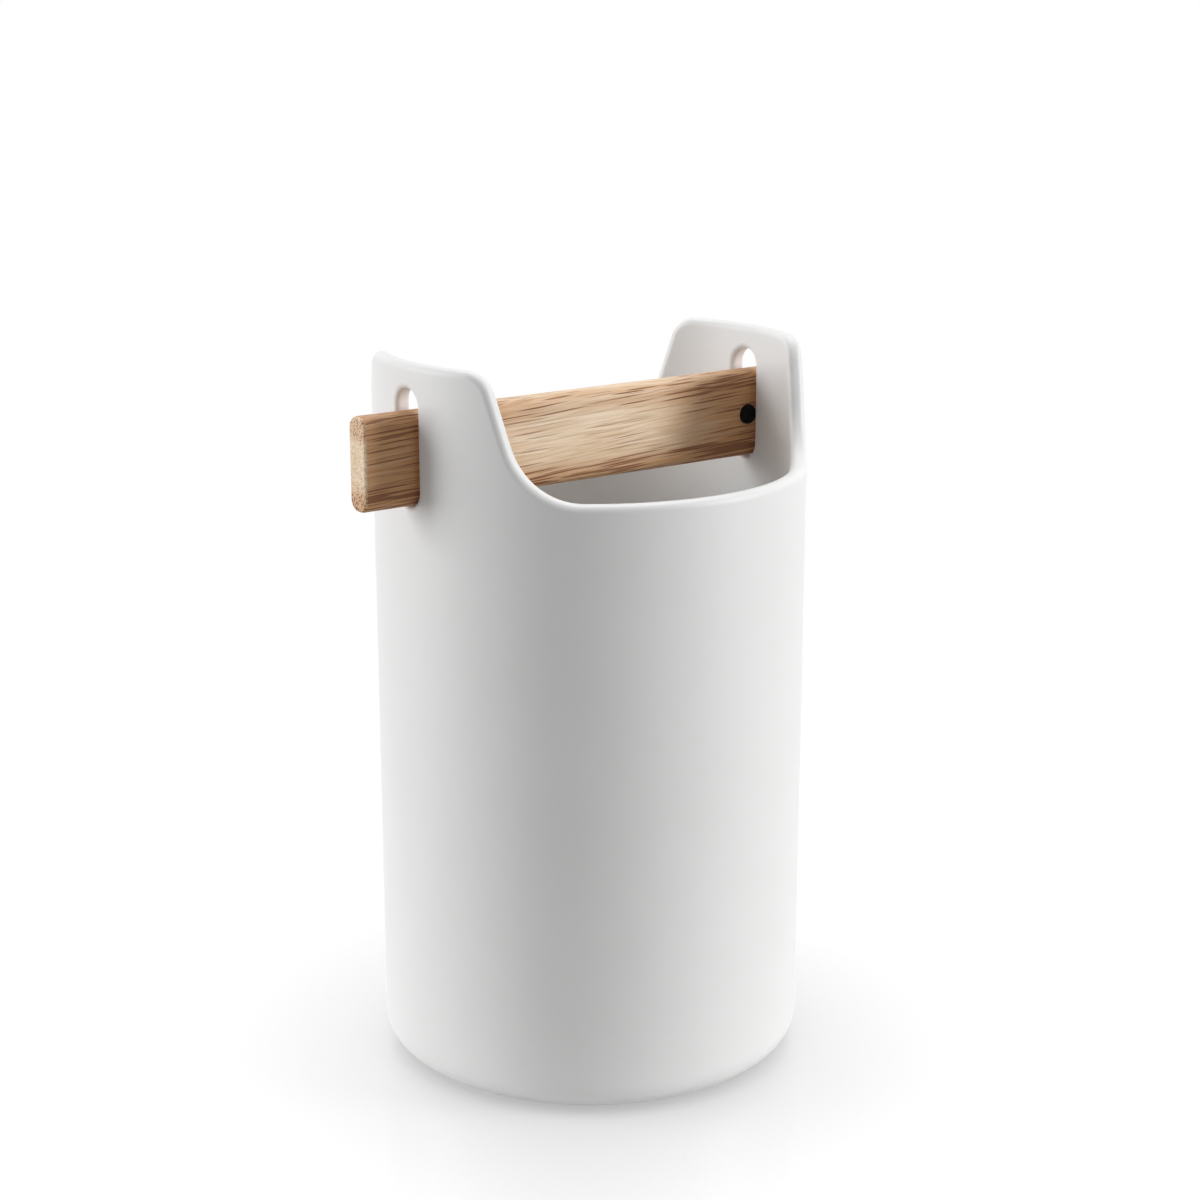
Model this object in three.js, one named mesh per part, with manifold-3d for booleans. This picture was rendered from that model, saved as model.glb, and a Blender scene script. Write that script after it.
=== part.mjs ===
// Utensil holder: a straight stoneware jar with two raised ears, a flat oak bar that lies in a slot
// through each ear, and two rubber stops that keep the bar from sliding out.
// Millimetres, +Z up. The origin is on the table under the middle of the jar, X runs along the bar,
// and the front of the jar faces -Y.
import * as THREE from "three";
import { mergeVertices } from "three/addons/utils/BufferGeometryUtils.js";
import Module from "manifold-3d";

// Jar body
const JAR_HEIGHT = 200; // to the top of the ears
const JAR_DIAMETER = 118;
const JAR_WALL = 4.5;
const RIM_ROUND = 1.9; // on both edges of the rim
const JAR_FLOOR = 5.5; // thickness of the floor
const JAR_FLOOR_ROUND = 7; // inside, between wall and floor
const BASE_ROUND = 8.5; // outside, where the wall turns under
const FOOT_HEIGHT = 1.2;
const FOOT_WIDTH = 3.5;

// Ears, measured round the middle of the wall
const EAR_WIDTH = 52.4; // at the top, where the leaning sides would meet the top edge
const EAR_LEAN = THREE.MathUtils.degToRad(18.5); // the sides' lean from upright
const EAR_CORNER_ROUND = 8;
const EAR_FOOT_ROUND = 20; // where the sides run out into the low rim
const CUTOUT_DEPTH = 32.3; // from the ears' tops down to the low rim

// Bar
const BAR_OVERHANG = 14.7; // past the jar's wall, on each side
const BAR_HEIGHT = 24.8;
const BAR_THICKNESS = 7.7;
const BAR_EDGE_ROUND = 3.2; // the long edges
const BAR_END_EASE = 0.8; // the edges of the end faces

// Slots, sized by the bar
const BAR_SEAT_GAP = 0.45; // between the bar and the slot's floor
const BAR_SIDE_GAP = 0.95; // on each side of the bar
const BAR_LIFT_ROOM = 5.7; // above the bar
const EAR_BRIDGE = 6.7; // clay above the slot
const SLOT_EDGE_ROUND = 1.5; // where the slot meets the wall's two faces

// Stops
const STOP_DIAMETER = 5.2;
const STOP_END_ROUND = 0.5;
const STOP_GRIP = 0.05; // how far a stop's end stands out past the slot's side
const STOP_REACH = 1; // how far its edge reaches into the slot's rounded mouth
const STOP_BORE_GAP = 0.2;

// Columns of the jar's surface along each stretch of a quarter of the rim, from an ear's middle outwards
const RIM_COLUMNS = [6, 5, 3, 7, 10]; // ear top, corner, leaning side, run-out, low rim
const RIM_STEPS = 3; // over each of the rim's rounds
const BASE_STEPS = 5;
const FLOOR_STEPS = 4;
const CORNER_STEPS = 6;
const EDGE_STEPS = 3;
const BORE_SIDES = 24;

// Sizes that follow from those above
const OUTER_RADIUS = JAR_DIAMETER / 2;
const INNER_RADIUS = OUTER_RADIUS - JAR_WALL;
const MIDDLE_RADIUS = OUTER_RADIUS - JAR_WALL / 2;
const FOOT_RADIUS = OUTER_RADIUS - BASE_ROUND;
const FLOOR_LEVEL = FOOT_HEIGHT + JAR_FLOOR;
const LOW_RIM = JAR_HEIGHT - CUTOUT_DEPTH;
const QUARTER_TURN = (MIDDLE_RADIUS * Math.PI) / 2; // round the middle of the wall

const SLOT_WIDTH = BAR_THICKNESS + 2 * BAR_SIDE_GAP;
const SLOT_TOP = JAR_HEIGHT - EAR_BRIDGE;
const SLOT_BOTTOM = SLOT_TOP - BAR_LIFT_ROOM - BAR_HEIGHT - BAR_SEAT_GAP;
const SLOT_OVERRUN = 0.2; // the cutter stands out past both faces of the wall

const BAR_LENGTH = JAR_DIAMETER + 2 * BAR_OVERHANG;
const BAR_LEVEL = SLOT_BOTTOM + BAR_SEAT_GAP + BAR_HEIGHT / 2;
const STOP_PROUD = BAR_SIDE_GAP + STOP_GRIP;
const STOP_LENGTH = BAR_THICKNESS + 2 * STOP_PROUD;
const STOP_PLACE = INNER_RADIUS + STOP_REACH - STOP_DIAMETER / 2;

const GLAZE = { color: 0xe8e7e4, roughness: 0.5, metalness: 0 };
const OAK = { color: 0xc69c6d, roughness: 0.65, metalness: 0 };
const RUBBER = { color: 0x161616, roughness: 0.8, metalness: 0 };

const WELD = 1e-4; // vertices closer than this are one
const ACROSS_TO_X = new THREE.Matrix4().makeBasis(
  new THREE.Vector3(0, 1, 0),
  new THREE.Vector3(0, 0, 1),
  new THREE.Vector3(1, 0, 0),
);

const wasm = await Module();
wasm.setup();

// A closed geometry with its shared vertices merged and its collapsed triangles dropped, as a solid.
function solidOf(geometry) {
  const bare = new THREE.BufferGeometry();
  bare.setAttribute("position", geometry.getAttribute("position"));
  bare.setIndex(geometry.index);
  const merged = mergeVertices(bare, WELD);
  const corners = merged.index.array;
  const triVerts = [];
  for (let i = 0; i < corners.length; i += 3) {
    const [a, b, c] = corners.subarray(i, i + 3);
    if (a !== b && b !== c && c !== a) triVerts.push(a, b, c);
  }
  return new wasm.Manifold(
    new wasm.Mesh({
      numProp: 3,
      vertProperties: merged.getAttribute("position").array,
      triVerts: new Uint32Array(triVerts),
    }),
  );
}

function meshOf(name, solid, finish) {
  const { vertProperties, triVerts } = solid.getMesh();
  const geometry = new THREE.BufferGeometry();
  geometry.setAttribute("position", new THREE.BufferAttribute(vertProperties, 3));
  geometry.setIndex(new THREE.BufferAttribute(triVerts, 1));
  geometry.computeVertexNormals();
  const mesh = new THREE.Mesh(geometry, new THREE.MeshStandardMaterial(finish));
  mesh.name = name;
  return mesh;
}

// A quarter turn in the profile's plane, from one angle to the other about a centre.
function arcPoints(x, y, radius, from, to, steps) {
  const arc = new THREE.EllipseCurve(x, y, radius, radius, from, to, to < from);
  return arc.getPoints(steps);
}

// An upright rectangle with rounded corners, centred across and standing on the level given.
function roundedUpright(width, bottom, top, round) {
  const side = width / 2 - round;
  const shape = new THREE.Shape();
  shape.moveTo(-side, bottom);
  shape.lineTo(side, bottom);
  shape.absarc(side, bottom + round, round, -Math.PI / 2, 0);
  shape.absarc(side, top - round, round, 0, Math.PI / 2);
  shape.absarc(-side, top - round, round, Math.PI / 2, Math.PI);
  shape.absarc(-side, bottom + round, round, Math.PI, 1.5 * Math.PI);
  return shape;
}

// The rim's crest over a quarter of the jar, as distance round the wall from an ear's middle, and height:
// the ear's top, its corner, its leaning side, the run-out and the low rim.
function quarterRim() {
  const turn = Math.PI / 2 - EAR_LEAN; // the angle through which each round turns
  const cornerPlace = EAR_WIDTH / 2 - EAR_CORNER_ROUND * Math.tan(turn / 2);
  const sideFoot = EAR_WIDTH / 2 + CUTOUT_DEPTH * Math.tan(EAR_LEAN);
  const runOutPlace = sideFoot + EAR_FOOT_ROUND * Math.tan(turn / 2);
  const corner = new THREE.EllipseCurve(
    cornerPlace,
    JAR_HEIGHT - EAR_CORNER_ROUND,
    EAR_CORNER_ROUND,
    EAR_CORNER_ROUND,
    Math.PI / 2,
    EAR_LEAN,
    true,
  );
  const runOut = new THREE.EllipseCurve(
    runOutPlace,
    LOW_RIM + EAR_FOOT_ROUND,
    EAR_FOOT_ROUND,
    EAR_FOOT_ROUND,
    Math.PI + EAR_LEAN,
    1.5 * Math.PI,
  );
  return [
    new THREE.LineCurve(new THREE.Vector2(0, JAR_HEIGHT), corner.getPoint(0)),
    corner,
    new THREE.LineCurve(corner.getPoint(1), runOut.getPoint(0)),
    runOut,
    new THREE.LineCurve(runOut.getPoint(1), new THREE.Vector2(QUARTER_TURN, LOW_RIM)),
  ];
}

// One column for each step along the rim: its angle and height, and the way from the crest into the clay.
function rimColumns() {
  const quarter = [];
  quarterRim().forEach((stretch, index) => {
    const count = RIM_COLUMNS[index];
    for (let step = 0; step < count; step++) {
      const crest = stretch.getPoint(step / count);
      const along = stretch.getTangent(step / count);
      quarter.push({ around: crest.x, height: crest.y, inAround: along.y, inHeight: -along.x });
    }
  });
  const front = { around: QUARTER_TURN, height: LOW_RIM, inAround: 0, inHeight: -1 };
  const mirrored = quarter
    .slice(1)
    .reverse()
    .map((c) => ({ ...c, around: 2 * QUARTER_TURN - c.around, inAround: -c.inAround }));
  const half = [...quarter, front, ...mirrored];
  const otherHalf = half.map((c) => ({ ...c, around: c.around + 2 * QUARTER_TURN }));
  return [...half, ...otherHalf];
}

// The wall's section from the middle of the underside, out and up over the rim, to the middle of the floor.
// Points on the rim also hold their depth below its crest.
function jarProfile() {
  const round = Math.min(RIM_ROUND, JAR_WALL / 2);
  const rimLevel = JAR_HEIGHT - round;
  const points = [
    new THREE.Vector2(0, FOOT_HEIGHT),
    new THREE.Vector2(FOOT_RADIUS - FOOT_WIDTH, FOOT_HEIGHT),
    new THREE.Vector2(FOOT_RADIUS - FOOT_WIDTH, 0),
    new THREE.Vector2(FOOT_RADIUS, 0),
    ...arcPoints(FOOT_RADIUS, FOOT_HEIGHT + BASE_ROUND, BASE_ROUND, -Math.PI / 2, 0, BASE_STEPS),
  ];
  const rim = [
    ...arcPoints(OUTER_RADIUS - round, rimLevel, round, 0, Math.PI / 2, RIM_STEPS),
    ...arcPoints(INNER_RADIUS + round, rimLevel, round, Math.PI / 2, Math.PI, RIM_STEPS),
  ];
  for (const point of rim) {
    point.depth = JAR_HEIGHT - point.y;
    points.push(point);
  }
  const turnIn = INNER_RADIUS - JAR_FLOOR_ROUND;
  points.push(
    ...arcPoints(turnIn, FLOOR_LEVEL + JAR_FLOOR_ROUND, JAR_FLOOR_ROUND, 0, -Math.PI / 2, FLOOR_STEPS),
    new THREE.Vector2(0, FLOOR_LEVEL),
  );
  return points;
}

// The turned jar, with its columns moved so that the rounded rim follows the ears and the low rim.
function jarBody() {
  const profile = jarProfile();
  const columns = rimColumns();
  const turned = new THREE.LatheGeometry(profile, columns.length);
  const position = turned.getAttribute("position");
  for (let i = 0; i <= columns.length; i++) {
    const column = columns[i % columns.length];
    profile.forEach((point, j) => {
      const onRim = point.depth !== undefined;
      const around = column.around + (onRim ? column.inAround * point.depth : 0);
      const height = onRim ? column.height + column.inHeight * point.depth : point.y;
      const angle = around / MIDDLE_RADIUS;
      const place = i * profile.length + j;
      position.setXYZ(place, point.x * Math.cos(angle), point.x * Math.sin(angle), height);
    });
  }
  return solidOf(turned);
}

// What is cut from the ear at +X: the slot right through, flared at both faces so that its edges come out rounded.
function slotCutter() {
  const round = Math.min(SLOT_EDGE_ROUND, JAR_WALL / 2 - SLOT_OVERRUN);
  const outline = roundedUpright(SLOT_WIDTH, SLOT_BOTTOM, SLOT_TOP, SLOT_WIDTH / 2);
  const through = new THREE.ExtrudeGeometry(outline, {
    depth: 3 * JAR_WALL,
    curveSegments: CORNER_STEPS,
    bevelEnabled: false,
  });
  through.applyMatrix4(ACROSS_TO_X).translate(INNER_RADIUS - JAR_WALL, 0, 0);
  const flared = new THREE.ExtrudeGeometry(outline, {
    depth: JAR_WALL + 2 * (SLOT_OVERRUN - round),
    curveSegments: CORNER_STEPS,
    bevelThickness: round,
    bevelSize: -round,
    bevelOffset: round,
    bevelSegments: EDGE_STEPS,
  });
  flared.applyMatrix4(ACROSS_TO_X).translate(INNER_RADIUS - SLOT_OVERRUN + round, 0, 0);
  const position = flared.getAttribute("position");
  for (let i = 0; i < position.count; i++) {
    const bow = OUTER_RADIUS - Math.sqrt(OUTER_RADIUS ** 2 - position.getY(i) ** 2);
    position.setX(i, position.getX(i) - bow);
  }
  return [through, flared];
}

function makeJar() {
  let body = jarBody();
  for (const cut of slotCutter()) {
    const opposite = cut.clone().rotateZ(Math.PI);
    body = body.subtract(solidOf(cut)).subtract(solidOf(opposite));
  }
  return meshOf("jar", body, GLAZE);
}

// The bar about its own middle, with a cross bore for each stop.
function makeBar() {
  const outline = roundedUpright(BAR_THICKNESS, -BAR_HEIGHT / 2, BAR_HEIGHT / 2, BAR_EDGE_ROUND);
  const geometry = new THREE.ExtrudeGeometry(outline, {
    depth: BAR_LENGTH - 2 * BAR_END_EASE,
    curveSegments: CORNER_STEPS,
    bevelThickness: BAR_END_EASE,
    bevelSize: BAR_END_EASE,
    bevelOffset: -BAR_END_EASE,
    bevelSegments: EDGE_STEPS,
  });
  geometry.applyMatrix4(ACROSS_TO_X).translate(BAR_END_EASE - BAR_LENGTH / 2, 0, 0);
  const boreRadius = STOP_DIAMETER / 2 + STOP_BORE_GAP;
  const bore = new THREE.CylinderGeometry(boreRadius, boreRadius, STOP_LENGTH, BORE_SIDES);
  const solid = solidOf(geometry)
    .subtract(solidOf(bore.clone().translate(STOP_PLACE, 0, 0)))
    .subtract(solidOf(bore.clone().translate(-STOP_PLACE, 0, 0)));
  return meshOf("handle_bar", solid, OAK);
}

// A peg through the bar, standing out past both of its faces.
function makeStop(name, place) {
  const radius = STOP_DIAMETER / 2;
  const shoulder = STOP_LENGTH / 2 - STOP_END_ROUND;
  const flat = radius - STOP_END_ROUND;
  const profile = [
    new THREE.Vector2(0, -STOP_LENGTH / 2),
    ...arcPoints(flat, -shoulder, STOP_END_ROUND, -Math.PI / 2, 0, EDGE_STEPS),
    ...arcPoints(flat, shoulder, STOP_END_ROUND, 0, Math.PI / 2, EDGE_STEPS),
    new THREE.Vector2(0, STOP_LENGTH / 2),
  ];
  const stop = meshOf(name, solidOf(new THREE.LatheGeometry(profile, BORE_SIDES)), RUBBER);
  stop.position.x = place;
  return stop;
}

const handle = new THREE.Group();
handle.position.z = BAR_LEVEL;
handle.add(makeBar(), makeStop("left_stop", -STOP_PLACE), makeStop("right_stop", STOP_PLACE));

const utensilHolder = new THREE.Group();
utensilHolder.add(makeJar(), handle);

export default utensilHolder;
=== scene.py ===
"""Utensil holder: a white stoneware jar with two raised ears, an oak bar in their slots and two rubber stops.

Metres, +Z up. X runs along the bar and the front of the jar faces -Y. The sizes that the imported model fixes
come from its frame, and the others are properties in the sidebar.
"""
import math

import bmesh
import bpy
from bpy.props import FloatProperty, FloatVectorProperty, PointerProperty
from mathutils import Matrix, Vector


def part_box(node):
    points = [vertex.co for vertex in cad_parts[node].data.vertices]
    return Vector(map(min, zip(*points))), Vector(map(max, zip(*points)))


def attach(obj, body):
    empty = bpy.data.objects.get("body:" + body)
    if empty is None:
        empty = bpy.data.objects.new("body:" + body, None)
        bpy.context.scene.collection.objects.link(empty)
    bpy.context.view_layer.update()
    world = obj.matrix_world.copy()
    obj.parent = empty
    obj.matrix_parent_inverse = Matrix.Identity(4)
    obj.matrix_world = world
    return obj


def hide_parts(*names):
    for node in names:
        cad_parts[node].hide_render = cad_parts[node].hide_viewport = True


bl_info = {
    "name": "Utensil holder",
    "version": (1, 0, 0),
    "blender": (4, 5, 0),
    "location": "3D View > Sidebar > Holder",
    "description": "Models and finishes a stoneware utensil holder with an oak handle bar",
    "category": "Add Mesh",
}

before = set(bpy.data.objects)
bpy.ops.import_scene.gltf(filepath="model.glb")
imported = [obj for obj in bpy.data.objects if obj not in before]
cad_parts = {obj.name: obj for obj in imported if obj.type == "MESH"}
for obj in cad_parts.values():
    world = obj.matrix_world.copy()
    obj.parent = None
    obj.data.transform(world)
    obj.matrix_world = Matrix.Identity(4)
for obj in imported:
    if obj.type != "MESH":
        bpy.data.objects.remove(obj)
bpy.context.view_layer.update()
JAR_LOW, JAR_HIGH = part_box("jar")
BAR_LOW, BAR_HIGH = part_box("handle_bar")
BAR_MIDDLE = (BAR_HIGH + BAR_LOW) / 2
STOP_LOW, STOP_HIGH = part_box("right_stop")

# Steps of the meshes
RIM_COLUMNS = (26, 14, 8, 22, 24)  # over a quarter: ear top, corner, leaning side, run-out, low rim
RIM_STEPS = 7  # over each of the rim's rounds
BASE_STEPS = 14
FLOOR_STEPS = 10
FOOT_STEPS = 3
EAR_ROWS = 48  # from under the rim down to where the columns stand upright
WALL_ROWS = 6  # below that
MOUTH_STEPS = 6
BAR_EDGE_STEPS = 8
BAR_END_STEPS = 4
BORE_CELLS = 10  # along each side of the square that a bore opens from
STOP_STEPS = 4
STOP_SIDES = 64
TABLE_SIDES = 96

# Lengths and shares that the meshes need
WELD = 1e-6  # vertices closer than this are one
SUPPORT = 0.0003  # a row this far from a round keeps the flat beside it flat
RIM_DEPTH = 0.0036  # rows down to this depth follow the rim's line
UPRIGHT_LEVEL = 0.115  # below this level the jar's columns stand upright
SLOT_MARGIN = 3  # edge rounds from a slot to the border of the panel that it opens from
BORE_MARGIN = 1.6  # radii from a bore's middle to the sides of the square that it opens from
WALL_SLACK = 0.125  # part of the wall's thickness by which a face on the wall may lie off it

MILLIMETRE = 0.001
WHITE = (1, 1, 1, 1)


def length(name, description, default):
    """A property that holds a length in metres."""
    return FloatProperty(name=name, description=description, default=default, unit="LENGTH", precision=5)


def colour(name, description, default):
    """A property that holds a colour."""
    return FloatVectorProperty(
        name=name, description=description, default=default, subtype="COLOR", size=3, min=0, max=1
    )


def angle(name, description, degrees):
    """A property that holds an angle."""
    return FloatProperty(name=name, description=description, default=math.radians(degrees), unit="ROTATION")


def lamp_power(name, description, default):
    """A property that holds a lamp's power."""
    return FloatProperty(name=name, description=description, default=default, subtype="POWER")


def number(name, description, default):
    """A property that holds a plain number."""
    return FloatProperty(name=name, description=description, default=default)


class JarSizes(bpy.types.PropertyGroup):
    """Sizes of the jar"""

    height: length("Height", "From the table to the top of the ears", JAR_HIGH.z)
    diameter: length("Diameter", "Across the outside of the wall", JAR_HIGH.x - JAR_LOW.x)
    wall: length("Wall", "Thickness of the wall", 0.0045)
    rim_round: length("Rim round", "Both edges of the rim", 0.0019)
    floor: length("Floor", "Thickness of the floor", 0.0055)
    floor_round: length("Floor round", "Inside, between the wall and the floor", 0.007)
    base_round: length("Base round", "Outside, where the wall turns under", 0.0085)
    foot_height: length("Foot height", "Height of the foot ring", 0.0012)
    foot_width: length("Foot width", "Width of the foot ring", 0.0035)
    foot_round: length("Foot round", "Edges of the foot ring", 0.0004)
    ear_width: length("Ear width", "Round the wall, where the leaning sides would meet the top edge", 0.0524)
    ear_lean: angle("Ear lean", "Lean of the ears' sides from upright", 18.5)
    ear_corner_round: length("Ear corner round", "Upper corners of the ears", 0.008)
    ear_foot_round: length("Ear foot round", "Where the ears' sides run out into the low rim", 0.020)
    cutout_depth: length("Cut-out depth", "From the ears' tops down to the low rim", 0.0323)
    slot_width: length("Slot width", "Across the slot in each ear", 0.0096)
    slot_bottom: length("Slot bottom", "Level of the slot's floor", 0.16235)
    slot_top: length("Slot top", "Level of the top of the slot's arch", 0.1933)
    slot_edge_round: length("Slot edge round", "Where the slot meets the wall's faces", 0.0015)


class BarSizes(bpy.types.PropertyGroup):
    """Sizes of the bar and its stops"""

    edge_round: length("Edge round", "Long edges of the bar", 0.0032)
    end_ease: length("End ease", "Edges of the bar's end faces", 0.0008)
    bore_gap: length("Bore gap", "Between a stop and its bore", 0.0002)
    bore_ease: length("Bore ease", "Edges of the bores", 0.00025)
    stop_end_round: length("Stop end round", "Edges of the stops' ends", 0.0005)


class Finishes(bpy.types.PropertyGroup):
    """Colours of the finishes"""

    glaze: colour("Glaze", "Matt white glaze", (0.83, 0.83, 0.826))
    glaze_shade: colour("Glaze shade", "Where the glaze lies thinner", (0.82, 0.819, 0.815))
    clay: colour("Clay", "Bare clay under the foot ring", (0.60, 0.55, 0.48))
    oak_light: colour("Oak light", "Pale wood between the pores", (0.93, 0.77, 0.58))
    oak_mid: colour("Oak middle", "Denser wood", (0.74, 0.53, 0.335))
    oak_streak: colour("Oak streak", "Brown streaks", (0.60, 0.345, 0.17))
    # Painted shade: this darker, browner colour towards the bar's ends stands in for the shade that falls
    # there.
    oak_end_shade: colour("Oak rich", "Browner wood towards the ends", (0.57, 0.285, 0.117))
    oak_pore: colour("Oak pore", "Open pores", (0.27, 0.11, 0.045))
    rubber: colour("Rubber", "Stops", (0.005, 0.005, 0.005))
    floor: colour("Floor", "Table away from the jar, as it lights the jar", (0.43, 0.43, 0.43))
    floor_near: colour("Floor near", "Table close to the jar, as it lights the jar", (0.65, 0.65, 0.65))
    floor_halo: colour("Floor halo", "Soft shadow on the table close to the jar", (0.5, 0.5, 0.5))
    floor_shown: colour("Floor shown", "Part of the table's white that takes shadows", (0.16, 0.16, 0.16))


class OakPattern(bpy.types.PropertyGroup):
    """Pattern of the oak, in millimetres from the bar's middle"""

    grain_tilt: angle("Grain tilt", "Slope of the grain along the bar", -3)
    grain_stray: number("Grain stray", "How far the grain strays from straight lines", 2)
    pith: FloatVectorProperty(name="Pith", description="Middle of the growth rings", default=(0, 26, -38))
    ring_width: number("Ring width", "From one growth ring to the next", 2.6)
    ring_stray: number("Ring stray", "How far the rings stray from circles", 4)
    # Painted shade: where the browning of the bar's ends starts, where it is full and how far it strays.
    end_shade_start: number("Rich start", "Distance at which the wood starts to turn browner", 22)
    end_shade_full: number("Rich full", "Distance at which the wood is brownest", 60)
    end_shade_stray: number("Rich stray", "How far these distances stray", 20)
    # The painted shade at the ends fades out just under the end faces, which stay pale.
    end_fade: number("End fade", "Depth under the end faces at which the brown starts to fade", 0.9)
    end_pale: number("End pale", "Depth under the end faces at which the brown is gone", 0.3)
    # The lower and upper brown bands are partly streaks in the wood and partly painted shade.
    lower_start: number("Lower start", "Level at which the lower brown band starts", -4)
    lower_full: number("Lower full", "Level at which the lower band is brownest", -10)
    upper_start: number("Upper start", "Level at which the upper brown band starts", 5)
    upper_full: number("Upper full", "Level at which the upper band is brownest", 8)
    upper_fade: number("Upper fade", "Level at which the upper band starts to fade", 11.4)
    upper_end: number("Upper end", "Level at which the upper band ends", 12.3)
    band_stray: number("Band stray", "How far the bands' levels stray", 4)


class StageSettings(bpy.types.PropertyGroup):
    """Camera and light"""

    camera_place: FloatVectorProperty(
        name="Camera place",
        description="Where the camera stands",
        default=(-0.37509, -0.50627, 0.29421),
        subtype="TRANSLATION",
        unit="LENGTH",
    )
    camera_azimuth: angle("Camera azimuth", "Turn of the view from +Y towards +X", 36.78)
    camera_pitch: angle("Camera pitch", "How far the view looks down", 14.77)
    camera_lens: FloatProperty(
        name="Lens", description="Focal length on a 36 mm sensor", default=70.46, unit="CAMERA"
    )
    lamp_distance: length("Lamp distance", "From the jar's middle to the soft boxes", 1.2)
    key_power: lamp_power("Key power", "Soft box in front, at the right", 10.2)
    side_power: lamp_power("Side power", "Soft box at the left, towards the back", 9.3)
    back_power: lamp_power("Back power", "Soft box above and behind", 7)
    ambient: number("Ambient", "Strength of the even light from all round", 0.26)
    table_radius: length("Table radius", "Radius of the table top", 0.7)
    table_fade: length("Table fade", "Distance at which the table starts to fade out", 0.2)
    table_end: length("Table end", "Distance at which the table is gone", 0.6)
    near_fade: length("Near fade", "Distance at which the table's near colour starts to fade", 0.066)
    near_end: length("Near end", "Distance at which the table's near colour is gone", 0.085)
    floor_lift: number("Floor lift", "White that the camera sees on the table", 0.88)
    halo: length("Halo", "Reach of the soft shadow round the jar", 0.06)


# Meshes


def outline(corners):
    """A new mesh with a line through corners, each given as its distance from the Z axis and its height."""
    bm = bmesh.new()
    verts = [bm.verts.new((x, 0, z)) for x, z in corners]
    for start, end in zip(verts, verts[1:]):
        bm.edges.new((start, end))
    return bm


def round_corner(bm, corner, radius, steps):
    """Round the outline's corner at a point."""
    place = Vector((corner[0], 0, corner[1]))
    vert = min(bm.verts, key=lambda v: (v.co - place).length)
    bmesh.ops.bevel(
        bm,
        geom=[vert],
        offset=radius,
        offset_type="OFFSET",
        segments=steps,
        profile=0.5,
        affect="VERTICES",
        material=-1,
        clamp_overlap=False,
    )
    bmesh.ops.remove_doubles(bm, verts=bm.verts, dist=WELD)


def cut_across(bm, place, normal):
    """Split every edge and face that crosses a plane."""
    geom = bm.verts[:] + bm.edges[:] + bm.faces[:]
    bmesh.ops.bisect_plane(bm, geom=geom, plane_co=place, plane_no=normal)


def turn(bm, steps):
    """Turn an outline round the Z axis into a closed surface."""
    bmesh.ops.spin(
        bm,
        geom=bm.verts[:] + bm.edges[:],
        cent=(0, 0, 0),
        axis=(0, 0, 1),
        angle=math.tau,
        steps=steps,
        use_merge=True,
    )
    bmesh.ops.remove_doubles(bm, verts=bm.verts, dist=WELD)
    bmesh.ops.recalc_face_normals(bm, faces=bm.faces)


def open_panel(bm, faces):
    """Take faces out of a surface and give the edges round the gap."""
    inside = set(faces)
    border = [e for f in faces for e in f.edges if not inside.issuperset(e.link_faces)]
    bmesh.ops.delete(bm, geom=faces, context="FACES")
    return border


def draw_ring(bm, loop, place):
    """Extrude a loop of edges, put each new vertex where place says, and give the new loop."""
    made = bmesh.ops.extrude_edge_only(bm, edges=loop)["geom"]
    for vert in made:
        if isinstance(vert, bmesh.types.BMVert):
            vert.co = place(vert.co)
    return [e for e in made if isinstance(e, bmesh.types.BMEdge) and e.is_boundary]


def draw_mouth(bm, faces, edge_round, place):
    """Open a panel into the rounded mouth of a hole and give its inner loop. Place gives the point that lies
    a distance outside the hole's outline and a depth below the face, next to a point."""
    loop = open_panel(bm, faces)
    loop = draw_ring(bm, loop, lambda point: place(point, edge_round + SUPPORT, 0))
    for step in range(MOUTH_STEPS + 1):
        tilt = step / MOUTH_STEPS * math.pi / 2
        outside = edge_round * (1 - math.sin(tilt))
        depth = edge_round * (1 - math.cos(tilt))
        loop = draw_ring(bm, loop, lambda point: place(point, outside, depth))
    return loop


def add_piece(context, name, bm, finish, body, node):
    """Make an object of a mesh, in place of the CAD node, and let it move with the node's body."""
    bmesh.ops.recalc_face_normals(bm, faces=bm.faces)
    open_edges = [e for e in bm.edges if not e.is_manifold]
    if open_edges:
        raise RuntimeError(f"{name} has {len(open_edges)} open edges")
    mesh = bpy.data.meshes.new(name)
    bm.to_mesh(mesh)
    bm.free()
    mesh.shade_smooth()
    mesh.materials.append(finish)
    piece = bpy.data.objects.new(name, mesh)
    context.scene.collection.objects.link(piece)
    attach(piece, body)
    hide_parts(node)
    return piece


# Jar


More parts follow.
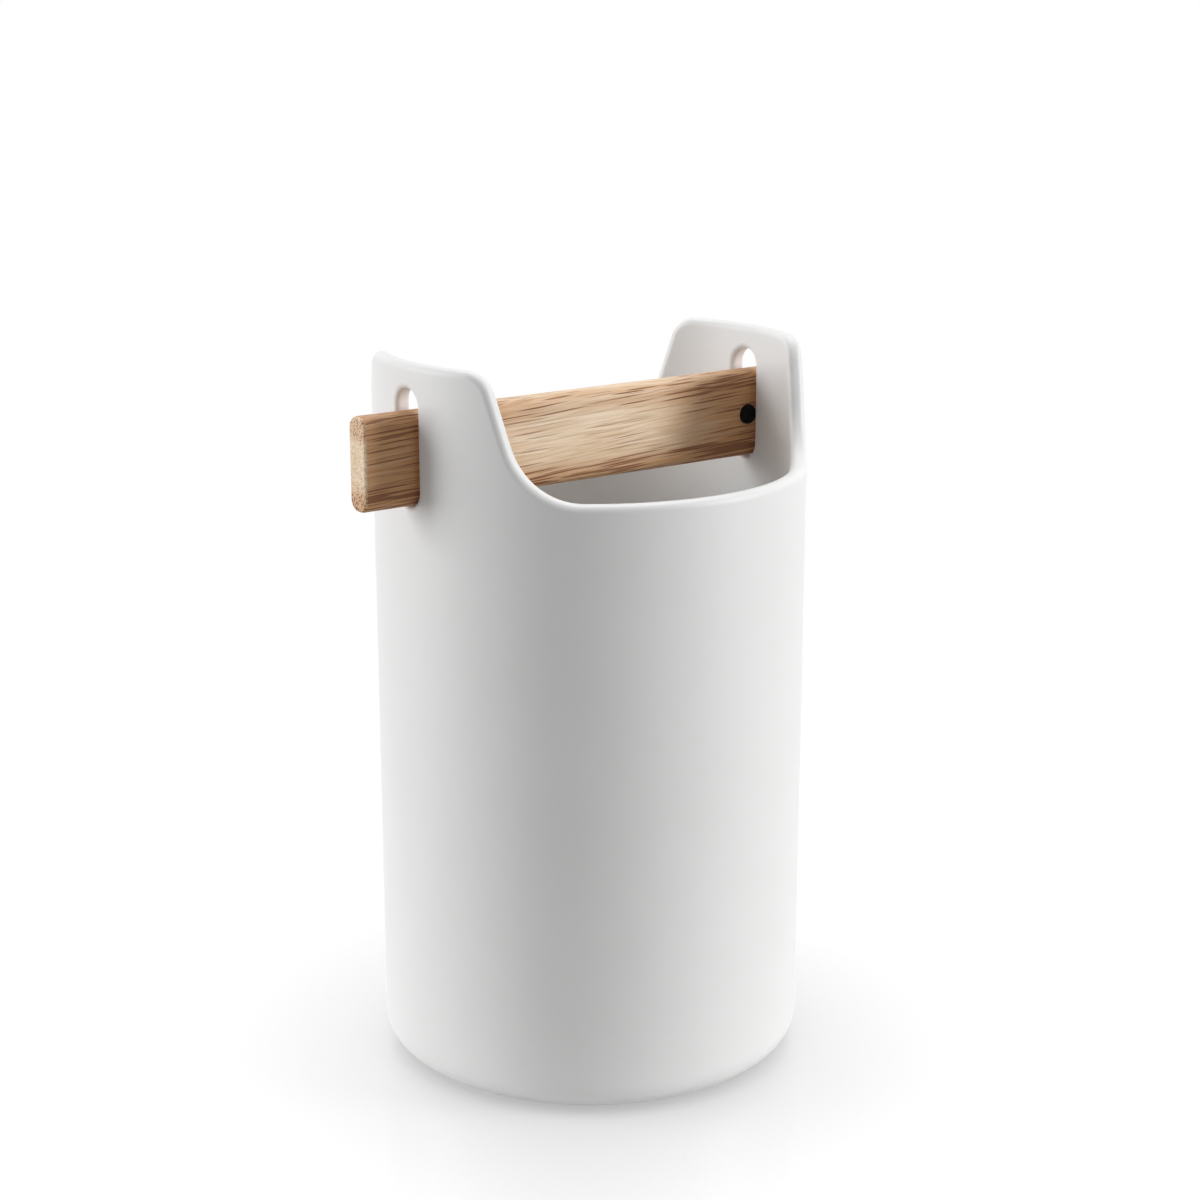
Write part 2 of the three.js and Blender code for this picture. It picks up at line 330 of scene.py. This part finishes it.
def rim_quarter(jar):
    """The rim's crest over a quarter of the jar, from an ear's middle to the low rim's: for each column its
    distance round the wall's middle, its height, and the way from the crest into the clay."""
    lean = jar.ear_lean
    bend = math.pi / 2 - lean
    corner, foot = jar.ear_corner_round, jar.ear_foot_round
    low = jar.height - jar.cutout_depth
    corner_place = jar.ear_width / 2 - corner * math.tan(bend / 2)
    side_foot = jar.ear_width / 2 + jar.cutout_depth * math.tan(lean)
    run_out = side_foot + foot * math.tan(bend / 2)
    quarter = (jar.diameter - jar.wall) / 2 * math.pi / 2

    def line(start, end, share):
        along = Vector(end) - Vector(start)
        place = Vector(start) + along * share
        along.normalize()
        return place.x, place.y, along.y, -along.x

    def arc(centre, radius, start, end, share):
        way = start + (end - start) * share
        into = -1 if end < start else 1
        across, up = math.cos(way), math.sin(way)
        return centre[0] + radius * across, centre[1] + radius * up, into * across, into * up

    side_top = (corner_place + corner * math.cos(lean), jar.height - corner + corner * math.sin(lean))
    side_end = (run_out - foot * math.cos(lean), low + foot - foot * math.sin(lean))
    stretches = (
        lambda share: line((0, jar.height), (corner_place, jar.height), share),
        lambda share: arc((corner_place, jar.height - corner), corner, math.pi / 2, lean, share),
        lambda share: line(side_top, side_end, share),
        lambda share: arc((run_out, low + foot), foot, math.pi + lean, 1.5 * math.pi, share),
        lambda share: line((run_out, low), (quarter, low), share),
    )
    columns = [
        stretch(step / count) for stretch, count in zip(stretches, RIM_COLUMNS) for step in range(count)
    ]
    return columns, (quarter, low, 0, -1)


def rim_columns(jar):
    """The rim's columns all the way round, from the middle of the ear at +X."""
    quarter, front = rim_quarter(jar)
    half_turn = 2 * front[0]
    mirrored = [(half_turn - a, h, -into_a, into_h) for a, h, into_a, into_h in reversed(quarter[1:])]
    half = quarter + [front] + mirrored
    return half + [(a + half_turn, h, into_a, into_h) for a, h, into_a, into_h in half]


def wall_section(jar):
    """The wall's section, from the middle of the underside over the rim to the middle of the floor."""
    outer = jar.diameter / 2
    inner = outer - jar.wall
    foot = outer - jar.base_round
    foot_inside = foot - jar.foot_width
    floor = jar.foot_height + jar.floor
    bm = outline(
        [
            (0, jar.foot_height),
            (foot_inside, jar.foot_height),
            (foot_inside, 0),
            (foot, 0),
            (foot, jar.foot_height),
            (outer, jar.foot_height),
            (outer, jar.height),
            (inner, jar.height),
            (inner, floor),
            (0, floor),
        ]
    )
    round_corner(bm, (outer, jar.foot_height), jar.base_round, BASE_STEPS)
    round_corner(bm, (outer, jar.height), jar.rim_round, RIM_STEPS)
    round_corner(bm, (inner, jar.height), jar.rim_round, RIM_STEPS)
    round_corner(bm, (inner, floor), jar.floor_round, FLOOR_STEPS)
    for x, z in (
        (foot_inside, jar.foot_height),
        (foot_inside, 0),
        (foot, 0),
        (foot, jar.foot_height),
    ):
        round_corner(bm, (x, z), jar.foot_round, FOOT_STEPS)
    under_rim = jar.height - RIM_DEPTH
    levels = [jar.height - jar.rim_round - SUPPORT]
    levels += [under_rim + (UPRIGHT_LEVEL - under_rim) * row / EAR_ROWS for row in range(EAR_ROWS + 1)]
    levels += [UPRIGHT_LEVEL * row / (WALL_ROWS + 1) for row in range(1, WALL_ROWS + 1)]
    for level in levels:
        cut_across(bm, (0, 0, level), (0, 0, 1))
    return bm


def follow_rim(bm, jar, columns):
    """Move the turned wall's columns so that its rounded top runs along the ears and the low rim."""
    middle = (jar.diameter - jar.wall) / 2
    under_rim = jar.height - RIM_DEPTH
    for vert in bm.verts:
        radius = math.hypot(vert.co.x, vert.co.y)
        if radius < WELD:
            continue
        share = math.atan2(vert.co.y, vert.co.x) / math.tau
        around, crest, into_around, into_height = columns[round(share * len(columns)) % len(columns)]
        level = vert.co.z
        depth = min(jar.height - level, RIM_DEPTH)
        upright = min(max((under_rim - level) / (under_rim - UPRIGHT_LEVEL), 0), 1)
        around += into_around * depth * (1 - upright)
        if level > UPRIGHT_LEVEL:
            top = crest + into_height * depth
            level = top + (UPRIGHT_LEVEL - top) * upright
        way = around / middle
        vert.co = (radius * math.cos(way), radius * math.sin(way), level)


def slot_point(jar, y, z, outside):
    """The point outside the slot's outline that lies nearest to a point across the slot."""
    half = jar.slot_width / 2
    core = Vector((0, min(max(z, jar.slot_bottom + half), jar.slot_top - half)))
    return core + (Vector((y, z)) - core).normalized() * (half + outside)


def pierce_ear(bm, jar, side):
    """Open the slot through the ear on one side, with rounded edges on both faces of the wall."""
    outer = jar.diameter / 2
    panel_reach = jar.slot_width / 2 + SLOT_MARGIN * jar.slot_edge_round
    panel_bottom = jar.slot_bottom - SLOT_MARGIN * jar.slot_edge_round
    panel_top = jar.height - RIM_DEPTH
    loops = []
    for radius, inwards in ((outer, -1), (outer - jar.wall, 1)):
        panel = []
        for face in bm.faces:
            centre = face.calc_center_median()
            on_wall = abs(math.hypot(centre.x, centre.y) - radius) < jar.wall * WALL_SLACK
            in_reach = centre.x * side > 0 and abs(centre.y) < panel_reach
            if on_wall and in_reach and panel_bottom < centre.z < panel_top:
                panel.append(face)

        def place(point, outside, depth):
            y, z = slot_point(jar, point.y, point.z, outside)
            return side * (math.sqrt(radius**2 - y**2) + inwards * depth), y, z

        loops += draw_mouth(bm, panel, jar.slot_edge_round, place)
    bmesh.ops.bridge_loops(bm, edges=loops)


class HOLDER_OT_make_jar(bpy.types.Operator):
    """Turn the jar, let its rim follow the ears and open a slot through each ear"""

    bl_idname = "holder.make_jar"
    bl_label = "Jar"

    def execute(self, context):
        jar = context.scene.holder_jar
        columns = rim_columns(jar)
        bm = wall_section(jar)
        turn(bm, len(columns))
        follow_rim(bm, jar, columns)
        for side in (1, -1):
            pierce_ear(bm, jar, side)
        add_piece(context, "stoneware_jar", bm, glaze_finish(context.scene), "jar", "jar")
        return {"FINISHED"}


# Bar


def bore_places():
    """The middle of the bore for each stop."""
    return [sum(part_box(node), Vector()) / 2 for node in ("left_stop", "right_stop")]


def bevel_edges(bm, edges, radius, steps):
    """Round edges of a solid."""
    bmesh.ops.bevel(
        bm,
        geom=edges,
        offset=radius,
        offset_type="OFFSET",
        segments=steps,
        profile=0.5,
        affect="EDGES",
        material=-1,
    )


def bar_blank(bar):
    """The bar with its rounded edges, before it is bored."""
    bm = bmesh.new()
    bmesh.ops.create_cube(bm, size=1)
    bmesh.ops.scale(bm, verts=bm.verts, vec=BAR_HIGH - BAR_LOW)
    bmesh.ops.translate(bm, verts=bm.verts, vec=BAR_MIDDLE)
    long_edges = [e for e in bm.edges if abs(e.verts[0].co.x - e.verts[1].co.x) > WELD]
    bevel_edges(bm, long_edges, bar.edge_round, BAR_EDGE_STEPS)
    end_edges = [e for e in bm.edges if abs(e.verts[0].co.x - e.verts[1].co.x) < WELD]
    bevel_edges(bm, end_edges, bar.end_ease, BAR_END_STEPS)
    bmesh.ops.remove_doubles(bm, verts=bm.verts, dist=WELD)
    return bm


def bore_bar(bm, bar, middle):
    """Open a bore across the bar for one stop."""
    radius = (STOP_HIGH.x - STOP_LOW.x) / 2 + bar.bore_gap
    reach = BORE_MARGIN * radius
    for cell in range(BORE_CELLS + 1):
        offset = reach * (2 * cell / BORE_CELLS - 1)
        cut_across(bm, (middle.x + offset, 0, 0), (1, 0, 0))
        cut_across(bm, (0, 0, middle.z + offset), (0, 0, 1))
    loops = []
    for side, face_level in ((-1, BAR_LOW.y), (1, BAR_HIGH.y)):
        panel = []
        for face in bm.faces:
            away = face.calc_center_median() - middle
            on_face = abs(away.y + middle.y - face_level) < WELD
            if on_face and abs(away.x) < reach and abs(away.z) < reach:
                panel.append(face)

        def place(point, outside, depth):
            away = Vector((point.x - middle.x, 0, point.z - middle.z)).normalized() * (radius + outside)
            return middle.x + away.x, face_level - side * depth, middle.z + away.z

        loops += draw_mouth(bm, panel, bar.bore_ease, place)
    bmesh.ops.bridge_loops(bm, edges=loops)


class HOLDER_OT_make_bar(bpy.types.Operator):
    """Shape the oak bar, round its edges and bore it for the stops"""

    bl_idname = "holder.make_bar"
    bl_label = "Handle bar"

    def execute(self, context):
        bar = context.scene.holder_bar
        bm = bar_blank(bar)
        for middle in bore_places():
            bore_bar(bm, bar, middle)
        piece = add_piece(context, "oak_bar", bm, oak_finish(context.scene), "handle", "handle_bar")
        piece.modifiers.new("flat faces", "WEIGHTED_NORMAL")
        return {"FINISHED"}


# Stops


def stop_peg(bar):
    """A peg along Y about its own middle."""
    size = STOP_HIGH - STOP_LOW
    radius, half = size.x / 2, size.y / 2
    bm = outline([(0, -half), (radius, -half), (radius, half), (0, half)])
    for end in (-half, half):
        round_corner(bm, (radius, end), bar.stop_end_round, STOP_STEPS)
    cut_across(bm, (0, 0, 0), (0, 0, 1))
    turn(bm, STOP_SIDES)
    bmesh.ops.rotate(bm, verts=bm.verts, matrix=Matrix.Rotation(math.pi / 2, 3, "X"))
    return bm


class HOLDER_OT_make_stops(bpy.types.Operator):
    """Turn the two rubber stops and set them in their bores"""

    bl_idname = "holder.make_stops"
    bl_label = "Stops"

    def execute(self, context):
        finish = rubber_finish(context.scene)
        for node, middle in zip(("left_stop", "right_stop"), bore_places()):
            bm = stop_peg(context.scene.holder_bar)
            bmesh.ops.translate(bm, verts=bm.verts, vec=middle)
            piece = add_piece(context, node + "_peg", bm, finish, "handle", node)
            piece.modifiers.new("flat ends", "WEIGHTED_NORMAL")
        return {"FINISHED"}


# Finishes


class Shade:
    """A value in a node tree. Arithmetic on it adds Math nodes."""

    def __init__(self, tree, socket=None):
        self.tree = tree
        self.socket = socket

    def node(self, kind, settings=None, inputs=None, output=0):
        """Add a node, set its settings and then its sockets, and give one of its outputs."""
        node = self.tree.nodes.new(kind)
        for name, value in (settings or {}).items():
            setattr(node, name, value)
        for name, value in (inputs or {}).items():
            if isinstance(value, Shade):
                self.tree.links.new(value.socket, node.inputs[name])
            else:
                node.inputs[name].default_value = value
        return Shade(self.tree, node.outputs[output] if node.outputs else None)

    def math(self, operation, *values):
        """Add a Math node."""
        return self.node("ShaderNodeMath", {"operation": operation}, dict(enumerate(values)))

    def __add__(self, other):
        return self.math("ADD", self, other)

    def __sub__(self, other):
        return self.math("SUBTRACT", self, other)

    def __mul__(self, other):
        return self.math("MULTIPLY", self, other)

    def __truediv__(self, other):
        return self.math("DIVIDE", self, other)

    def __radd__(self, other):
        return self.math("ADD", other, self)

    def __rsub__(self, other):
        return self.math("SUBTRACT", other, self)

    def __rmul__(self, other):
        return self.math("MULTIPLY", other, self)

    def __rtruediv__(self, other):
        return self.math("DIVIDE", other, self)

    def between(self, low, high):
        """0 below low, 1 above high and a smooth rise between them."""
        settings = {"interpolation_type": "SMOOTHSTEP"}
        return self.node("ShaderNodeMapRange", settings, {"Value": self, "From Min": low, "From Max": high})

    def noise(self, scale, detail, roughness=0.5):
        """Noise on this vector."""
        inputs = {"Vector": self, "Scale": scale, "Detail": detail, "Roughness": roughness}
        return self.node("ShaderNodeTexNoise", None, inputs)

    def stretched(self, factors):
        """This vector with each axis scaled."""
        return self.node("ShaderNodeVectorMath", {"operation": "MULTIPLY"}, {0: self, 1: factors})

    def tint(self, under, over):
        """The first colour where this mask is 0 and the second where it is 1."""
        return self.node("ShaderNodeMix", {"data_type": "RGBA"}, {0: self, 6: under, 7: over}, 2)


def rgba(value):
    """A colour property as a socket's value."""
    return (*value, 1)


def new_finish(name):
    """A new material, as itself and the start of its nodes."""
    material = bpy.data.materials.new(name)
    material.use_nodes = True
    material.node_tree.nodes.clear()
    return material, Shade(material.node_tree)


def surface(start, inputs):
    """Give a material its surface, a Principled shader with these sockets."""
    shader = start.node("ShaderNodeBsdfPrincipled", None, inputs)
    start.node("ShaderNodeOutputMaterial", None, {"Surface": shader})


def millimetres(start, centre, turned=(0, 0, 0)):
    """Object coordinates about a centre, turned, in millimetres."""
    place = start.node("ShaderNodeTexCoord", output="Object")
    inputs = {"Vector": place, "Location": centre, "Rotation": turned, "Scale": (MILLIMETRE,) * 3}
    return start.node("ShaderNodeMapping", {"vector_type": "TEXTURE"}, inputs)


def bump(relief, strength, depth):
    """The normal of a surface with this relief, in which 1 is a depth in millimetres."""
    inputs = {"Strength": strength, "Distance": depth * MILLIMETRE, "Height": relief}
    return relief.node("ShaderNodeBump", None, inputs)


def glaze_finish(scene):
    """Matt white glaze with a faint cloudiness and a fine skin, and bare clay under the foot ring."""
    cloud_range = (0.35, 0.7)
    glaze_line = (0.35, 0.6)  # heights in millimetres over which the clay gives way to the glaze
    line_stray = 0.3
    skin_height, ripple_height, grit_height = 0.5, 1.2, 3
    glaze_rough, skin_rough, clay_rough = 0.40, 0.10, 0.35

    colours = scene.holder_finishes
    material, start = new_finish("matt_white_glaze")
    place = millimetres(start, (0, 0, 0))
    cloud = place.noise(scale=0.045, detail=3).between(*cloud_range)
    skin = place.noise(scale=0.9, detail=3, roughness=0.6)
    ripple = place.noise(scale=0.12, detail=2)
    grit = place.noise(scale=3, detail=4, roughness=0.7)
    stray = place.noise(scale=0.4, detail=2) * line_stray
    height = place.node("ShaderNodeSeparateXYZ", None, {"Vector": place}, "Z")
    bare = 1 - (height + stray).between(*glaze_line)
    white = cloud.tint(rgba(colours.glaze), rgba(colours.glaze_shade))
    relief = skin * skin_height + ripple * ripple_height + bare * grit * grit_height
    surface(
        start,
        {
            "Base Color": bare.tint(white, rgba(colours.clay)),
            "Roughness": glaze_rough + skin * skin_rough + bare * clay_rough,
            "Normal": bump(relief, strength=0.35, depth=0.03),
        },
    )
    return material


def patches(grain, along, across, detail, roughness=0.5):
    """Noise with this many patches per millimetre along the grain and across it."""
    return grain.stretched((along, across, across)).noise(1, detail, roughness)


def pores(grain, along, across, width, share):
    """Pores scattered as thin dashes, 1 inside a pore, with this many per millimetre along and across the
    grain. Width is half a pore's width in spaces from pore to pore, and share the part of them that shows."""
    soft_edge = 0.1
    faint_share = 0.3  # pores that show only in part
    cells = {"Vector": grain.stretched((along, across, across)), "Scale": 1}
    away = grain.node("ShaderNodeTexVoronoi", None, cells, "Distance")
    draw = grain.node("ShaderNodeTexVoronoi", None, cells, "Color")
    chance = grain.node("ShaderNodeSeparateColor", None, {"Color": draw}, "Red")
    inside = 1 - (away - width).between(-soft_edge, soft_edge)
    return inside * (share - chance).between(0, faint_share)


def oak_grain(start, oak):
    """Coordinates along the grain, in millimetres from the bar's middle, and the grain's drift."""
    straight = millimetres(start, BAR_MIDDLE, (0, oak.grain_tilt, 0))
    drift = patches(straight, along=0.02, across=0.1, detail=2)
    stray = drift * oak.grain_stray
    sway = start.node("ShaderNodeCombineXYZ", None, {"Y": stray, "Z": stray})
    return start.node("ShaderNodeVectorMath", {"operation": "ADD"}, {0: straight, 1: sway}), drift


def growth_ring(grain, oak, drift):
    """How far out a point lies in its growth ring, from 0 to 1."""
    from_pith = grain.node("ShaderNodeVectorMath", {"operation": "SUBTRACT"}, {0: grain, 1: oak.pith})
    across = from_pith.stretched((0, 1, 1))
    distance = grain.node("ShaderNodeVectorMath", {"operation": "LENGTH"}, {0: across}, "Value")
    return grain.math("FRACT", (distance + drift * oak.ring_stray) / oak.ring_width)


def brown_zones(start, oak, drift, tone):
    """Masks of the painted shade at the bar's ends, and of the bands along its lower and upper edges."""
    place = millimetres(start, BAR_MIDDLE)
    along = start.math("ABSOLUTE", start.node("ShaderNodeSeparateXYZ", None, {"Vector": place}, "X"))
    height = start.node("ShaderNodeSeparateXYZ", None, {"Vector": place}, "Z")
    level = height + drift * oak.band_stray - oak.band_stray / 2
    half = (BAR_HIGH.x - BAR_LOW.x) / 2 / MILLIMETRE
    inside = 1 - along.between(half - oak.end_fade, half - oak.end_pale)
    # Painted shade towards the bar's ends, kept off the end faces.
    painted_end_shade = (along + tone * oak.end_shade_stray).between(oak.end_shade_start, oak.end_shade_full) * inside
    # Lower band: partly streaks, partly painted shade under the bar's rounded lower edge.
    lower = 1 - level.between(oak.lower_full, oak.lower_start)
    # Upper band: partly streaks, partly painted shade, ending just under the top edge.
    under_edge = 1 - level.between(oak.upper_fade, oak.upper_end)
    upper = level.between(oak.upper_start, oak.upper_full) * under_edge
    return painted_end_shade, lower, upper


def oak_pores(grain, early_wood, coarse, lower):
    """The oak's open pores, coarser and denser in its brown zones and painted shade, and its hairlines."""
    plain_width, coarse_width, lower_width = 0.26, 0.08, 0.08
    plain_share, early_share, coarse_share = 0.6, 0.2, 0.4
    width = plain_width + coarse * coarse_width + lower * lower_width
    share = plain_share + early_wood * early_share + coarse * coarse_share
    pore = pores(grain, along=0.034, across=1.5, width=width, share=share)
    hairline = pores(grain, along=0.026, across=2.1, width=0.3, share=0.9)
    return pore, hairline


def oak_finish(scene):
    """Oiled oak as one solid pattern of growth rings about a distant pith, fibres, and pores in the grain."""
    early_end, late_start = (0.05, 0.45), (0.5, 1)  # parts of a growth ring
    streak_range, dense_range = (0.48, 0.66), (0.50, 0.92)
    upper_coarse = 0.8
    tone_dense = 0.4
    streak_brown, lower_streak_brown = 0.08, 0.4
    # Brown of the streaks and bands; the bands' brown is partly painted shade.
    late_brown, lower_brown, upper_brown = 0.12, 0.75, 0.5
    # Strength of the painted shade at the ends, varied with the fibres.
    end_shade_strength, fibre_brown = 0.6, 0.6
    pore_dark, coarse_pore_dark = 0.5, 0.5
    hairline_dark, coarse_hairline_dark = 0.4, 0.15
    fibre_height = 0.35
    oak_rough, fibre_rough, pore_rough = 0.48, 0.12, 0.2

    colours = scene.holder_finishes
    oak = scene.holder_oak
    material, start = new_finish("oiled_oak")
    grain, drift = oak_grain(start, oak)
    ring = growth_ring(grain, oak, drift)
    early_wood = 1 - ring.between(*early_end)
    late_wood = ring.between(*late_start)
    fibre = patches(grain, along=0.06, across=1.5, detail=3, roughness=0.6)
    streak = patches(grain, along=0.012, across=0.8, detail=3, roughness=0.6).between(*streak_range)
    tone = patches(grain, along=0.025, across=0.07, detail=1)
    painted_end_shade, lower, upper = brown_zones(start, oak, drift, tone)
    # Pores and hairlines grow coarser and darker in the painted shade at the ends and along the edges.
    coarse = painted_end_shade + lower + upper * upper_coarse
    pore, hairline = oak_pores(grain, early_wood, coarse, lower)

    dense = (fibre + tone * tone_dense).between(*dense_range)
    brown = streak * (streak_brown + lower * lower_streak_brown) + late_wood * late_brown
    brown = brown + lower * lower_brown + upper * upper_brown
    # Painted shade: browner wood towards the bar's ends.
    end_shade_mix = painted_end_shade * (end_shade_strength + fibre * fibre_brown)
    dark = pore * (pore_dark + coarse * coarse_pore_dark)
    dark = dark + hairline * (hairline_dark + coarse * coarse_hairline_dark)
    wood = dense.tint(rgba(colours.oak_light), rgba(colours.oak_mid))
    wood = brown.tint(wood, rgba(colours.oak_streak))
    wood = end_shade_mix.tint(wood, rgba(colours.oak_end_shade))
    wood = dark.tint(wood, rgba(colours.oak_pore))
    surface(
        start,
        {
            "Base Color": wood,
            "Roughness": oak_rough + fibre * fibre_rough + pore * pore_rough,
            "Normal": bump(fibre * fibre_height - pore, strength=0.5, depth=0.15),
        },
    )
    return material


def rubber_finish(scene):
    """Matt black rubber with a fine grain and a little dust."""
    dust_range = (0.5, 0.8)
    dust_lift = 2
    rubber_rough, grain_rough = 0.68, 0.2

    material, start = new_finish("black_rubber")
    place = millimetres(start, (0, 0, 0))
    grain = place.noise(scale=4, detail=3, roughness=0.7)
    dust = place.noise(scale=0.8, detail=2).between(*dust_range)
    black = rgba(scene.holder_finishes.rubber)
    dusty = tuple(min(dust_lift * level, 1) for level in black)
    surface(
        start,
        {
            "Base Color": dust.tint(black, dusty),
            "Roughness": rubber_rough + grain * grain_rough,
            "Normal": bump(grain, strength=0.4, depth=0.05),
            "Specular IOR Level": 0.12,
        },
    )
    return material


# Stage


def seen_rays(start):
    """1 for rays that the camera sees, mirrored or through glass, and 0 for those that only light."""
    kinds = ("Is Camera Ray", "Is Glossy Ray", "Is Transmission Ray")
    camera, glossy, through = [start.node("ShaderNodeLightPath", output=kind) for kind in kinds]
    return start.math("MAXIMUM", camera, start.math("MAXIMUM", glossy, through))


def floor_finish(scene):
    """A white table that fades out, with a soft shadow round the jar and a faint mirror image of it."""
    halo_samples = 8
    polish_index, polish_rough = 1.75, 0.08

    stage = scene.holder_stage
    colours = scene.holder_finishes
    material, start = new_finish("white_table")
    seen = seen_rays(start)
    place = start.node("ShaderNodeTexCoord", output="Object")
    distance = start.node("ShaderNodeVectorMath", {"operation": "LENGTH"}, {0: place}, "Value")
    reach = {"Distance": stage.halo}
    nearby = start.node("ShaderNodeAmbientOcclusion", {"samples": halo_samples}, reach, "AO")
    white = nearby.tint(rgba(colours.floor_halo), WHITE)
    away = distance.between(stage.near_fade, stage.near_end)
    lighting = away.tint(rgba(colours.floor_near), rgba(colours.floor))
    shown = seen.tint(lighting, rgba(colours.floor_shown))
    matt = start.node("ShaderNodeBsdfDiffuse", None, {"Color": shown})
    lift = start.node("ShaderNodeEmission", None, {"Color": white, "Strength": seen * stage.floor_lift})
    paper = start.node("ShaderNodeAddShader", None, {0: matt, 1: lift})
    gloss = start.node("ShaderNodeBsdfGlossy", None, {"Color": WHITE, "Roughness": polish_rough})
    polish = start.node("ShaderNodeFresnel", None, {"IOR": polish_index})
    table = start.node("ShaderNodeMixShader", None, {0: polish, 1: paper, 2: gloss})
    clear = start.node("ShaderNodeBsdfTransparent")
    gone = distance.between(stage.table_fade, stage.table_end)
    faded = start.node("ShaderNodeMixShader", None, {0: gone, 1: table, 2: clear})
    start.node("ShaderNodeOutputMaterial", None, {"Surface": faded})
    return material


def add_floor(context):
    """A round table top under the jar."""
    radius = context.scene.holder_stage.table_radius
    bm = bmesh.new()
    bmesh.ops.create_circle(bm, cap_ends=True, segments=TABLE_SIDES, radius=radius)
    mesh = bpy.data.meshes.new("table")
    bm.to_mesh(mesh)
    bm.free()
    mesh.materials.append(floor_finish(context.scene))
    table = bpy.data.objects.new("table", mesh)
    context.scene.collection.objects.link(table)


def add_soft_box(context, name, azimuth, rise, size, power):
    """A lamp that faces the jar's middle, with angles in degrees. Azimuth 0 is in front of the jar and 90 at
    its right, and rise is the lamp's angle above the level of the jar's middle."""
    azimuth, rise = math.radians(azimuth), math.radians(rise)
    lamp = bpy.data.lights.new(name, "AREA")
    lamp.shape = "RECTANGLE"
    lamp.size, lamp.size_y = size
    lamp.energy = power
    way = Vector(
        (
            math.sin(azimuth) * math.cos(rise),
            -math.cos(azimuth) * math.cos(rise),
            math.sin(rise),
        )
    )
    box = bpy.data.objects.new(name, lamp)
    box.location = Vector((0, 0, JAR_HIGH.z / 2)) + way * context.scene.holder_stage.lamp_distance
    box.rotation_euler = way.to_track_quat("Z", "Y").to_euler()
    context.scene.collection.objects.link(box)


def add_surroundings(context):
    """Even light from all round, seen as white by the camera and in reflections."""
    world = bpy.data.worlds.new("white_room")
    world.use_nodes = True
    world.node_tree.nodes.clear()
    start = Shade(world.node_tree)
    ambient = context.scene.holder_stage.ambient
    strength = ambient + seen_rays(start) * (1 - ambient)
    room = start.node("ShaderNodeBackground", None, {"Color": WHITE, "Strength": strength})
    start.node("ShaderNodeOutputWorld", None, {"Surface": room})
    context.scene.world = world


def add_camera(context):
    """The camera at the photograph's viewing angle."""
    stage = context.scene.holder_stage
    lens = bpy.data.cameras.new("camera")
    lens.lens = stage.camera_lens
    camera = bpy.data.objects.new("camera", lens)
    camera.location = stage.camera_place
    camera.rotation_euler = (math.pi / 2 - stage.camera_pitch, 0, -stage.camera_azimuth)
    context.scene.collection.objects.link(camera)
    context.scene.camera = camera


class HOLDER_OT_make_stage(bpy.types.Operator):
    """Set the table, the soft boxes, the surroundings and the camera"""

    bl_idname = "holder.make_stage"
    bl_label = "Stage"

    def execute(self, context):
        stage = context.scene.holder_stage
        add_floor(context)
        add_soft_box(context, "key", azimuth=41, rise=20, size=(0.35, 0.9), power=stage.key_power)
        add_soft_box(context, "side", azimuth=-124, rise=15, size=(0.6, 0.9), power=stage.side_power)
        add_soft_box(context, "back", azimuth=150, rise=70, size=(0.8, 0.8), power=stage.back_power)
        add_surroundings(context)
        add_camera(context)
        context.scene.view_settings.view_transform = "Standard"
        return {"FINISHED"}


class HOLDER_PT_parts(bpy.types.Panel):
    """Makes the utensil holder's pieces and lists their sizes and colours"""

    bl_idname = "HOLDER_PT_parts"
    bl_label = "Utensil holder"
    bl_space_type = "VIEW_3D"
    bl_region_type = "UI"
    bl_category = "Holder"

    def draw(self, context):
        for maker in MAKERS:
            self.layout.operator(maker.bl_idname)
        for name, group in GROUPS.items():
            box = self.layout.box()
            for setting in group.__annotations__:
                box.prop(getattr(context.scene, name), setting)


MAKERS = (HOLDER_OT_make_jar, HOLDER_OT_make_bar, HOLDER_OT_make_stops, HOLDER_OT_make_stage)
GROUPS = {
    "holder_jar": JarSizes,
    "holder_bar": BarSizes,
    "holder_finishes": Finishes,
    "holder_oak": OakPattern,
    "holder_stage": StageSettings,
}
CLASSES = (*GROUPS.values(), *MAKERS, HOLDER_PT_parts)


def register():
    """Register the classes and give the scene its settings."""
    for entry in CLASSES:
        bpy.utils.register_class(entry)
    for name, group in GROUPS.items():
        setattr(bpy.types.Scene, name, PointerProperty(type=group))


def unregister():
    """Take the scene's settings and the classes away again."""
    for name in GROUPS:
        delattr(bpy.types.Scene, name)
    for entry in reversed(CLASSES):
        bpy.utils.unregister_class(entry)


def main():
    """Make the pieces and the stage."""
    register()
    bpy.ops.holder.make_jar()
    bpy.ops.holder.make_bar()
    bpy.ops.holder.make_stops()
    bpy.ops.holder.make_stage()


if __name__ == "__main__":
    main()
